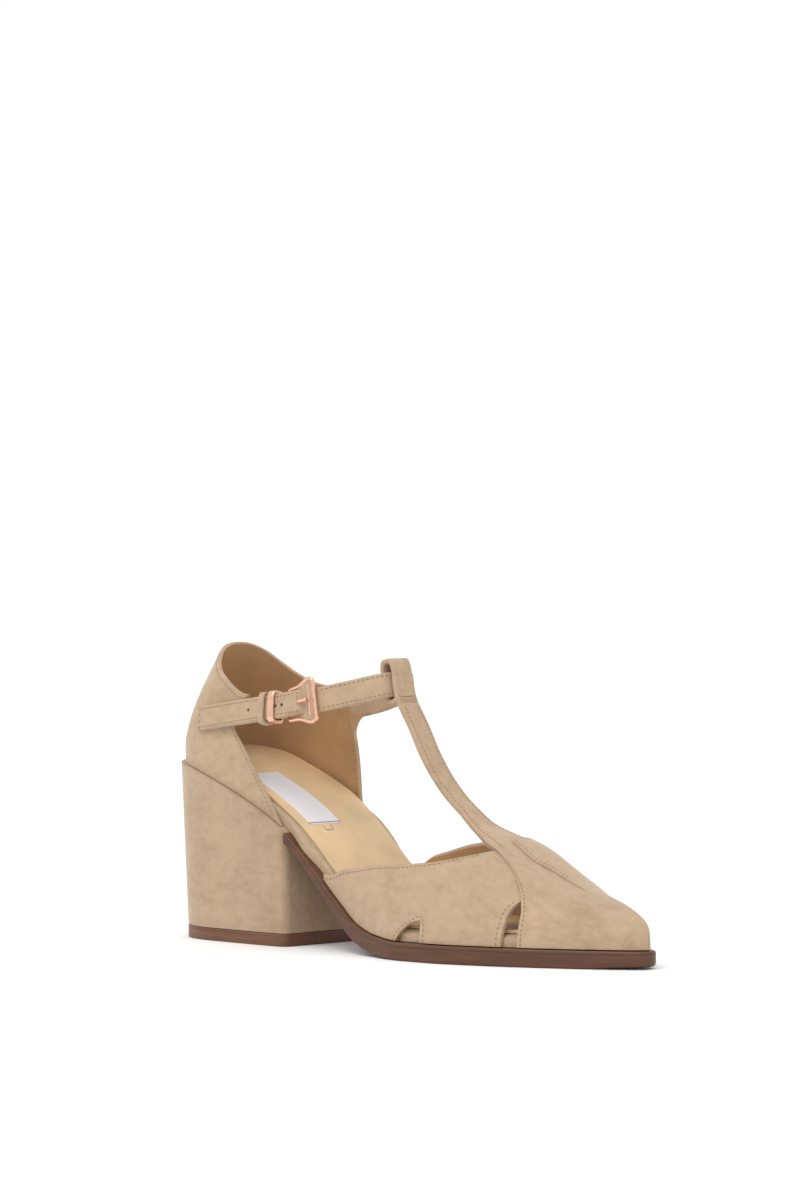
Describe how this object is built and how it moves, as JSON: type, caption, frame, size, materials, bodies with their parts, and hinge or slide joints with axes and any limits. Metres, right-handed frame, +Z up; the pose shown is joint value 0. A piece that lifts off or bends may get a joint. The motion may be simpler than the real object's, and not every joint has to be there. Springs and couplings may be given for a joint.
{
  "type": "t strap shoe",
  "caption": "Right women's block heel shoe in suede with an open waist, a closed pointed toe with arched side openings, a T strap and a buckled ankle strap.",
  "frame": {"origin": "centre of the shoe's bounding box on the floor", "axes": "+X from heel to toe, +Y to the inner (medial) side, +Z up"},
  "size_m": [0.245, 0.078, 0.1205],
  "materials": {
    "suede": "matte nap",
    "sock_leather": "smooth, satin",
    "sole_leather": "stained edge, satin",
    "heel_tip": "satin",
    "buckle_metal": "polished rose gold plate"
  },
  "bodies": {
    "root": {"outsole": "sole_leather", "heel": "suede", "top_piece": "heel_tip", "footbed": "suede", "insole": "sock_leather", "vamp": "suede", "quarter": "suede", "ankle_strap": "suede", "buckle_frame": "buckle_metal", "buckle_prong": "buckle_metal", "metal_keeper": "buckle_metal", "suede_keeper": "suede"}
  },
  "joints": []
}
